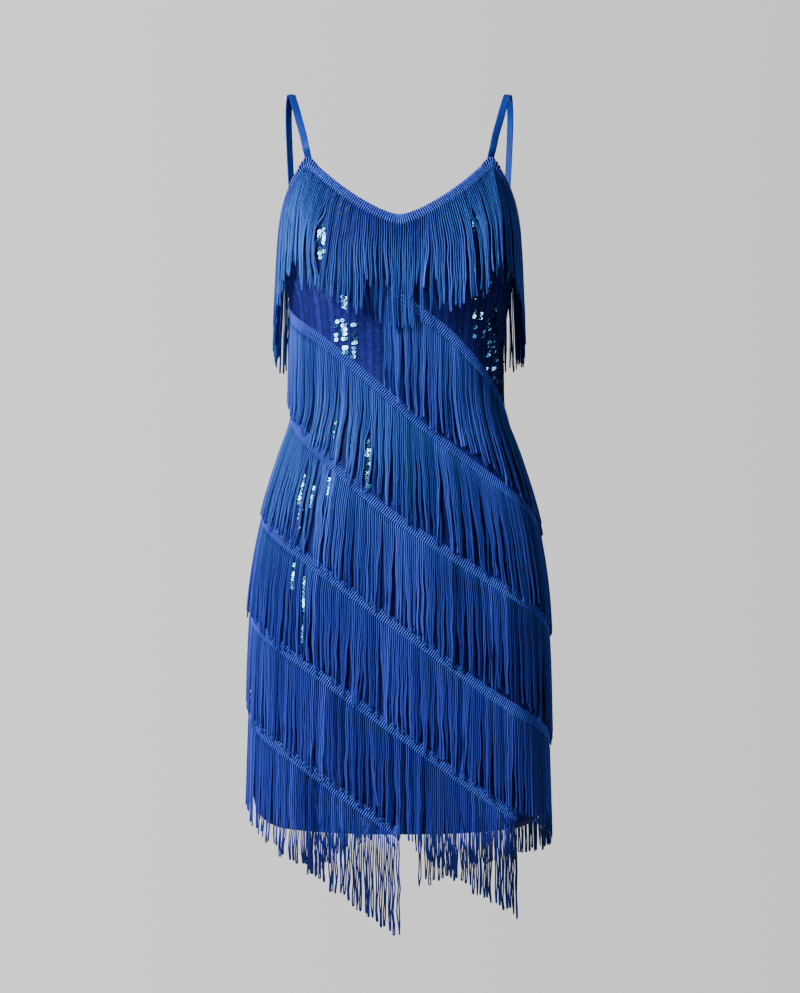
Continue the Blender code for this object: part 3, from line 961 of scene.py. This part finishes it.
def header_tape(name, rail, material):
    """The flat tape that the ribs of a header cross."""
    low, high = TAPE_LIFTS
    corners = ((TAPE_TOP, low), (TAPE_TOP, high), (0.0, high), (0.0, low))
    points = np.stack([on_header(rail, share, lift)[0] for share, lift in corners], axis=1)
    uvs = np.empty((len(points), 4, 2))
    uvs[..., 0] = (0, 0, EDGE.header, EDGE.header)
    uvs[..., 1] = rail.along[:, None]
    faces = ring_faces(1, len(points), 4)
    return make_mesh(name, points.reshape(-1, 3), *faces, uvs.reshape(-1, 2), None, material)


def header_stitches(name, rail, material):
    """Two lines of stitching that run along a header and dip between its ribs."""
    count = len(rail.turn)
    places = np.arange(2 * count - 1) / 2
    halves = Rail(*(np.interp(places, np.arange(count), values) for values in rail))
    lift = np.where(places % 1 == 0, *STITCH_LIFTS)[:, None]
    batches = []
    for share in STITCH_LINES:
        path, out = on_header(halves, share, lift)
        batches.append(tubes(path[None], out[None], THREAD_RADIUS, 4, np.full(len(path), 0.5)))
    return make_mesh(name, *joined(batches), material)


def mapped_sheet(name, columns, rows, place, thickness, offset, material):
    """A shell on a grid, whose points and UVs in metres are place(column share, row share)."""
    bpy.ops.mesh.primitive_grid_add(x_subdivisions=columns, y_subdivisions=rows, size=1)
    piece = bpy.context.object
    piece.name = piece.data.name = name
    mesh = piece.data
    flat = np.empty(len(mesh.vertices) * 3, np.float32)
    mesh.vertices.foreach_get("co", flat)
    points, metres = place(*(flat.reshape(-1, 3)[:, :2] + 0.5).T)
    mesh.vertices.foreach_set("co", points.astype(np.float32).ravel())
    mesh.uv_layers.remove(mesh.uv_layers[0])
    corner = np.empty(len(mesh.loops), np.int32)
    mesh.loops.foreach_get("vertex_index", corner)
    layer = mesh.uv_layers.new(name="metres")
    layer.uv.foreach_set("vector", metres[corner].astype(np.float32).ravel())
    mesh.materials.append(material)
    mesh.shade_smooth()
    mesh.update()
    shell = piece.modifiers.new("shell", "SOLIDIFY")
    shell.thickness, shell.offset = thickness, offset
    bpy.ops.object.modifier_apply(modifier=shell.name)
    return piece


def cloth_panel(name, first_turn, top_of, thickness, material):
    """The front or the back as a shell on the form, with level rows up to the underarm and fanned ones."""

    def place(across, up):
        turn = first_turn + np.clip(across / 2, 1e-6, 0.5 - 1e-6)
        hem = hem_height(turn)
        low = hem + (LEVEL_ROWS_TOP - hem) * np.minimum(up / LEVEL_ROWS, 1)
        fanned = np.clip((up - LEVEL_ROWS) / (1 - LEVEL_ROWS), 0, 1)
        height = low + fanned * (top_of(turn) - LEVEL_ROWS_TOP)
        points = creased(turn, height)
        at_seam = np.minimum(across, 1 - across) < 1e-4
        points[:, 1] = np.where(at_seam, SEAM_LAP if first_turn < 0.5 else -SEAM_LAP, points[:, 1])
        return points, np.stack([turn * GIRTH, height + 1], axis=1)

    return mapped_sheet(name, 110, 90, place, thickness, -1, material)


def sequin_template(radius):
    """One flat round sequin with a hole, as points and quads."""
    around = np.arange(8) * math.pi / 4
    rim = np.stack([np.cos(around), np.sin(around), np.zeros(8)], axis=1) * radius
    hole = rim * SEQUIN_HOLE
    points = np.concatenate([rim, hole, hole - [0, 0, SEQUIN_THICKNESS]])
    number = np.arange(24).reshape(3, 8)
    turned = np.roll(number, -1, axis=1)
    rings = ((0, 1), (2, 0), (1, 2))
    quads = [np.stack([number[a], turned[a], turned[b], number[b]], axis=1) for a, b in rings]
    return points, np.concatenate(quads)


def near_column(point):
    """True for the points of the front that lie in a parting or a column that catches the light."""
    found = np.zeros(len(point), bool)
    for column in PARTINGS + GLINT_COLUMNS:
        within = (point[:, 2] < column.top) & (point[:, 2] > column.bottom)
        found |= within & (np.abs(point[:, 0] - column.across) < column.half_gap)
    return found & (point[:, 1] < 0)


def sequin_shades(turn, centre, bright, rng):
    """A shade for each sequin: the plain ones' by their band and chance, the bright ones' by chance, with
    painted light and shade.
    """
    place = turn % 1 / BAND_TURNS
    band = rng.uniform(0, 1, math.ceil(1 / BAND_TURNS))[place.astype(int)]
    # Painted shade: the row between bands is darker. The band's random tone is a painted sheen of rows that
    # tilt differently.
    between_bands = np.round(place * 3).astype(int) % 3 == 0
    plain = (0.08 + 0.5 * band + rng.uniform(0, 0.35, len(turn))) * np.where(between_bands, 0.3, 1)
    glint = rng.choice(GLINT_SHADES, len(turn))
    # Painted light and shade: the bright ones on the left are kept pale, and those low on the right darker
    glint = np.where((centre[:, 0] < 0) & (glint < 0.94), 1.0, glint)
    glint = np.where((centre[:, 0] > 0) & (centre[:, 2] < LOW_GLINTS_TOP), LOW_RIGHT_GLINT, glint)
    return np.where(bright, glint, np.minimum(plain, PLAIN_SHADE))


def sewn_sequins(name, turn, height, every_other, sizes, rng, material):
    """Sequins at arrays of places as one piece. Some in the bright columns are tilted to the key light."""
    template, quads = sequin_template(sizes.sequin_radius)
    along, across, deep = template.T[:, None, :, None]
    count, size = len(turn), len(template)
    out = outward(turn, height)
    lift = np.resize(SEQUIN_LIFTS, count)
    centre = creased(turn, height) + lift[:, None] * out
    noise = rng.normal(0, SEQUIN_TILT, out.shape)
    normal = unit(out + noise + np.array([0, 0, 0.08]))
    to_camera = unit(np.array([CAMERA_SIDE, -CAMERA_DISTANCE, CAMERA_HEIGHT]) - centre)
    half_way = unit(to_camera + unit(np.array(KEY_PLACE) - centre))
    chance = np.where(centre[:, 2] < LOW_GLINTS_TOP, LOW_GLINTS, LEFT_GLINTS)
    chance = np.where(centre[:, 0] < 0, chance, RIGHT_GLINTS)
    bright = near_column(centre) & every_other & (rng.uniform(0, 1, count) < chance)
    normal = np.where(bright[:, None], unit(half_way + noise * 1.2), normal)
    centre = centre + (bright * GLINT_LIFT)[:, None] * out
    size_of = 1 + GLINT_GROWTH * bright[:, None, None]
    sideways = unit(np.cross(np.array([0, 0, 1.0]), normal))
    upright = np.cross(normal, sideways)
    turned = along * sideways[:, None] + across * upright[:, None] + deep * normal[:, None]
    points = centre[:, None] + size_of * turned
    faces = (quads[None] + (np.arange(count) * size)[:, None, None]).reshape(-1, 4)
    shade = sequin_shades(turn, centre, bright, rng).repeat(size)
    piece = make_mesh(name, points.reshape(-1, 3), faces, (), None, shade, material)
    piece.data.shade_flat()
    return piece


def sequin_places(first_turn, last_turn, rng):
    """Upright rows of sequins where no fringe hides the cloth, and down the partings of the front."""
    row = np.arange(int((last_turn - first_turn) * GIRTH / SEQUIN_SPACING))
    turns = first_turn + (row * SEQUIN_SPACING - (row % 3) * ROW_STEP) / GIRTH
    heights = np.arange(HEM + 0.01, STRAP_POINT, SEQUIN_PITCH)
    turn, height = np.meshgrid(turns, heights, indexing="ij")
    turn = turn + rng.normal(0, 0.0002, turn.shape)
    height = height + rng.uniform(0, SEQUIN_PITCH, (len(turns), 1)) + rng.normal(0, 0.0002, height.shape)
    bare = ~coverage(turn, height, margin=-0.002) & (height < edge_top(turn) - 0.004)
    bare &= height > hem_height(turn) + 0.003
    every_other = (np.arange(len(heights)) % 2 == 0)[None, :] & bare
    places = [(turn[bare], height[bare], every_other[bare])]
    for parting in PARTINGS if first_turn < 0.5 else ():
        more = np.arange(parting.bottom - 0.008, parting.top + 0.004, SEQUIN_PITCH)
        for aside in ((-0.6, 0.6) if parting.half_gap > 0.002 else (0,)):
            middle = turn_at(parting.across + aside * SEQUIN_SPACING, (parting.top + parting.bottom) / 2)
            turn = middle + rng.normal(0, 0.0003, len(more))
            places.append((turn, more + rng.uniform(0, SEQUIN_PITCH), np.arange(len(more)) % 2 == 0))
    return [np.concatenate(column) for column in zip(*places)]


def strap(name, side, material):
    """A flat strap over one shoulder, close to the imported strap's route. side is -1 at -X."""
    front_edge, back_edge = float(front_top(STRAP_POINT_TURN + 1e-9)), float(back_top(STRAP_BACK_TURN))
    inside = lambda turn, height: form(turn, height) - STRAP_CLEARANCE * outward(turn, height)
    front = [inside(STRAP_FOOT_TURN, front_edge - STRAP_TUCK + rise) for rise in (0, STRAP_TUCK)]
    back = [inside(STRAP_BACK_TURN, back_edge + rise) for rise in (0, -STRAP_TUCK)]
    bends = [*front, *STRAP_BENDS, *back]
    route = smooth_curve(range(len(bends)), bends, np.linspace(0, len(bends) - 1, STRAP_STEPS + 1))
    front_facing, back_facing = np.array(STRAP_FRONT_FACING), np.array(STRAP_BACK_FACING)
    run = run_along(route)

    def place(across, up):
        step = np.round(up * STRAP_STEPS).astype(int)
        along = unit(route[np.minimum(step + 1, STRAP_STEPS)] - route[np.maximum(step - 1, 0)])
        behind = np.clip((up - 0.25) / 0.3, 0, 1)
        on_top = np.exp(-(((up - STRAP_TOP_SHARE) / STRAP_TOP_REACH) ** 2))
        facing = front_facing + behind[:, None] * (back_facing - front_facing)
        facing = facing * (1 - on_top[:, None]) + np.array([0, 0, 1.0]) * on_top[:, None]
        sideways = unit(np.cross(along, facing))
        crown = STRAP_CROWN * (1 - (2 * across - 1) ** 2)
        normal = unit(np.cross(sideways, along))
        points = route[step] + sideways * ((across - 0.5) * STRAP_WIDTH)[:, None] + normal * crown[:, None]
        points[:, 0] *= -side
        return points, np.stack([across * STRAP_WIDTH, run[step]], axis=1)

    return mapped_sheet(name, 6, STRAP_STEPS, place, STRAP_THICKNESS, 0, material)


class DRESS_OT_stage(Operator):
    """Makes the camera, the lights, the backdrop and a pale floor below the dress"""

    bl_idname = "dress.stage"
    bl_label = "Stage"

    def execute(self, context):
        colours = context.scene.dress_colours
        camera = bpy.data.objects.new("camera", bpy.data.cameras.new("camera"))
        camera.location = (CAMERA_SIDE, -CAMERA_DISTANCE, CAMERA_HEIGHT)
        camera.rotation_euler = (math.pi / 2, 0, 0)
        camera.data.lens = LENS
        context.scene.collection.objects.link(camera)
        context.scene.camera = camera
        for lamp in LAMPS:
            self.light(*lamp)
        world = bpy.data.worlds.new("studio")
        context.scene.world = world
        graph = Graph(world, "Background", {"Color": (*colours.backdrop, 1)})
        towards = graph.node("ShaderNodeTexCoord", {}, {}, output="Generated")
        across = graph.node("ShaderNodeSeparateXYZ", {}, [towards])
        seen = graph.node("ShaderNodeLightPath", {}, {}, output="Is Camera Ray")
        # Painted shade: the backdrop that the camera sees darkens towards +X
        graph.feed("Strength", seen * (1.0 - AMBIENT + across * -BACKDROP_FALL) + AMBIENT)
        self.floor(colours)
        return {"FINISHED"}

    def light(self, name, place, size, power):
        data = bpy.data.lights.new(name, "AREA")
        data.shape, (data.size, data.size_y), data.energy = "RECTANGLE", size, power
        lamp = bpy.data.objects.new(name, data)
        lamp.location = place
        aim = Vector((0, 0, LIT_HEIGHT)) - Vector(place)
        lamp.rotation_euler = aim.to_track_quat("-Z", "Y").to_euler()
        bpy.context.scene.collection.objects.link(lamp)

    def floor(self, colours):
        """A pale disc that fades into the backdrop at its edge."""
        bpy.ops.mesh.primitive_circle_add(vertices=96, radius=FLOOR_RADIUS, fill_type="NGON")
        floor = bpy.context.object
        floor.name = "floor"
        for vertex in floor.data.vertices:
            vertex.co.z = FLOOR_HEIGHT
        graph = finish("floor", 0.9, 0.2, Base_Color=(*colours.backdrop, 1))
        place = graph.node("ShaderNodeTexCoord", {}, {}, output="Object")
        level = graph.node("ShaderNodeVectorMath", {"operation": "MULTIPLY"}, [place, (1, 1, 0)])
        reach = graph.node("ShaderNodeVectorMath", {"operation": "LENGTH"}, [level], output="Value")
        graph.feed("Alpha", ((1 - reach / FLOOR_RADIUS) * 2.0).clamped())
        floor.data.materials.append(graph.material)


class DRESS_OT_cloth(Operator):
    """Makes the front and the back of sequinned stretch cloth"""

    bl_idname = "dress.cloth"
    bl_label = "Cloth"

    def execute(self, context):
        sizes, colours = context.scene.dress_sizes, context.scene.dress_colours
        material = cloth_material(colours)
        front = ("front", 0.0, front_top, (0.48, 0.80), 0.328)
        back = ("back", 0.5, back_top, (0.48, 0.69), 0.291)
        for side, first_turn, top_of, flat, area in (front, back):
            piece = cloth_panel(f"{side}_cloth", first_turn, top_of, sizes.cloth_thickness, material)
            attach(piece, "root")
            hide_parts(f"{side}_panel")
        return {"FINISHED"}


class DRESS_OT_sequins(Operator):
    """Sews sequins where the fringe leaves the cloth bare"""

    bl_idname = "dress.sequins"
    bl_label = "Sequins"

    def execute(self, context):
        sizes = context.scene.dress_sizes
        material = sequin_material(context.scene.dress_colours)
        for name, first, last in (("front_sequins", 0.0, 0.5), ("back_sequins", 0.5, 1.0)):
            rng = np.random.default_rng(sizes.seed + 40)
            piece = sewn_sequins(name, *sequin_places(first, last, rng), sizes, rng, material)
            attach(piece, "root")
        return {"FINISHED"}


class DRESS_OT_straps(Operator):
    """Makes the two satin straps"""

    bl_idname = "dress.straps"
    bl_label = "Straps"

    def execute(self, context):
        material = strap_material(context.scene.dress_colours)
        for name, side in (("left", -1), ("right", 1)):
            piece = strap(f"{name}_strap", side, material)
            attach(piece, "root")
            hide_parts(f"strap_{name}")
        return {"FINISHED"}


class DRESS_OT_fringe(Operator):
    """Hangs all the strips of fringe, each with its header, stitching and looped cords"""

    bl_idname = "dress.fringe"
    bl_label = "Fringe"

    def execute(self, context):
        sizes, colours = context.scene.dress_sizes, context.scene.dress_colours
        cord, tape, thread = cord_material(colours), tape_material(colours), thread_material(colours)
        runs = [(edge.name, edge_top, edge.first_turn, edge.last_turn, EDGE) for edge in EDGES]
        for strip in STRIPS:
            ends = (strip.first_column / COLUMNS_PER_TURN, strip.last_column / COLUMNS_PER_TURN)
            runs.append((strip.name, strip_top(strip), *ends, SPIRAL))
        for number, (name, top_of, first, last, style) in enumerate(runs):
            rail = header_rail(top_of, first + 1e-5, last - 1e-5, style, sizes.cord_pitch)
            cords = hung_fringe(f"{name}_cords", rail, style, sizes.cord_radius, cord, sizes.seed + number)
            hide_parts(name)
            under = header_tape(f"{name}_tape", rail, tape)
            stitches = header_stitches(f"{name}_stitches", rail, thread)
            for piece in (cords, under, stitches):
                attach(piece, "root")
        return {"FINISHED"}


class DRESS_PT_panel(Panel):
    """Lists the dress's sizes, colours and steps"""

    bl_idname = "DRESS_PT_panel"
    bl_label = "Fringe dress"
    bl_space_type = "VIEW_3D"
    bl_region_type = "UI"
    bl_category = "Fringe dress"

    def draw(self, context):
        for group in (context.scene.dress_sizes, context.scene.dress_colours):
            box = self.layout.box()
            for name in group.__annotations__:
                box.prop(group, name)
        for step in STEPS:
            self.layout.operator(step.bl_idname)


STEPS = (DRESS_OT_stage, DRESS_OT_cloth, DRESS_OT_sequins, DRESS_OT_straps, DRESS_OT_fringe)
CLASSES = (DressSizes, DressColours, *STEPS, DRESS_PT_panel)


def register():
    for one in CLASSES:
        bpy.utils.register_class(one)
    bpy.types.Scene.dress_sizes = PointerProperty(type=DressSizes)
    bpy.types.Scene.dress_colours = PointerProperty(type=DressColours)


def unregister():
    del bpy.types.Scene.dress_colours
    del bpy.types.Scene.dress_sizes
    for one in reversed(CLASSES):
        bpy.utils.unregister_class(one)


def main():
    register()
    bpy.ops.dress.stage()
    bpy.ops.dress.cloth()
    bpy.ops.dress.sequins()
    bpy.ops.dress.straps()
    bpy.ops.dress.fringe()


if __name__ == "__main__":
    main()
